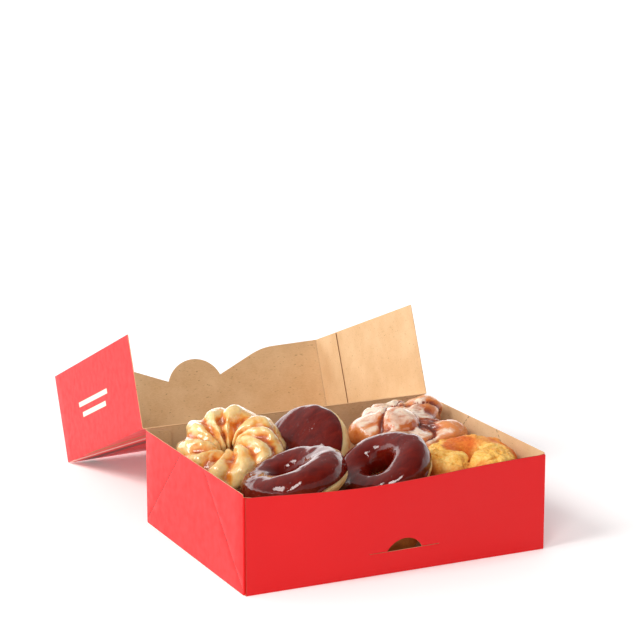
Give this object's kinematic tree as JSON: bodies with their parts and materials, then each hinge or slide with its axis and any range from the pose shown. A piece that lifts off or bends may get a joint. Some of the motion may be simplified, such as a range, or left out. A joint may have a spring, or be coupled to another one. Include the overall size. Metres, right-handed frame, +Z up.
{
  "type": "box of doughnuts",
  "caption": "Open paperboard bakery box with a fold-back lid, filled with iced rings, a filled doughnut, a cruller, a fritter and a plain cake ring.",
  "frame": {"origin": "centre of the underside of the box base, on the surface it stands on", "axes": "+X to the right along the front wall, +Y from the front wall with the slot to the hinged back wall, +Z up"},
  "size_m": [0.2572, 0.4227, 0.1486],
  "materials": {
    "red_board": "coated paperboard, printed red outside with a soft satin varnish, bare brown kraft inside and at the cut edges",
    "raised_dough": "fried yeast dough, golden with a pale band at mid height, fine pores",
    "chocolate": "dark chocolate icing, set but glossy, with smooth rounded edges",
    "glazed_crust": "piped egg dough, golden on its ridges and browner in its grooves, under a thin sugar glaze",
    "cake_crust": "fried cake batter, crumbly golden crust with rough cracks",
    "fritter_crust": "brown fried lumps under a milky sugar glaze",
    "plain_crust": "fried yeast dough, plain golden brown"
  },
  "bodies": {
    "tray": {"box_base": "red_board", "ring_left_dough": "raised_dough", "ring_middle_dough": "raised_dough", "cruller": "glazed_crust", "old_fashioned": "cake_crust", "filled_dough": "raised_dough", "fritter": "fritter_crust", "lower_doughnut_1": "plain_crust", "lower_doughnut_2": "plain_crust", "lower_doughnut_3": "plain_crust", "lower_doughnut_4": "plain_crust", "lower_doughnut_5": "plain_crust", "lower_doughnut_6": "plain_crust", "ring_left_icing": "chocolate", "ring_middle_icing": "chocolate", "filled_icing": "chocolate"},
    "lid": {"box_lid": "red_board"}
  },
  "joints": [
    {"name": "lid_hinge", "type": "hinge", "parent": "tray", "child": "lid", "pos_m": [0, 0.0991, 0.0776], "axis": [1, 0, 0], "range_deg": [0, 167]}
  ]
}
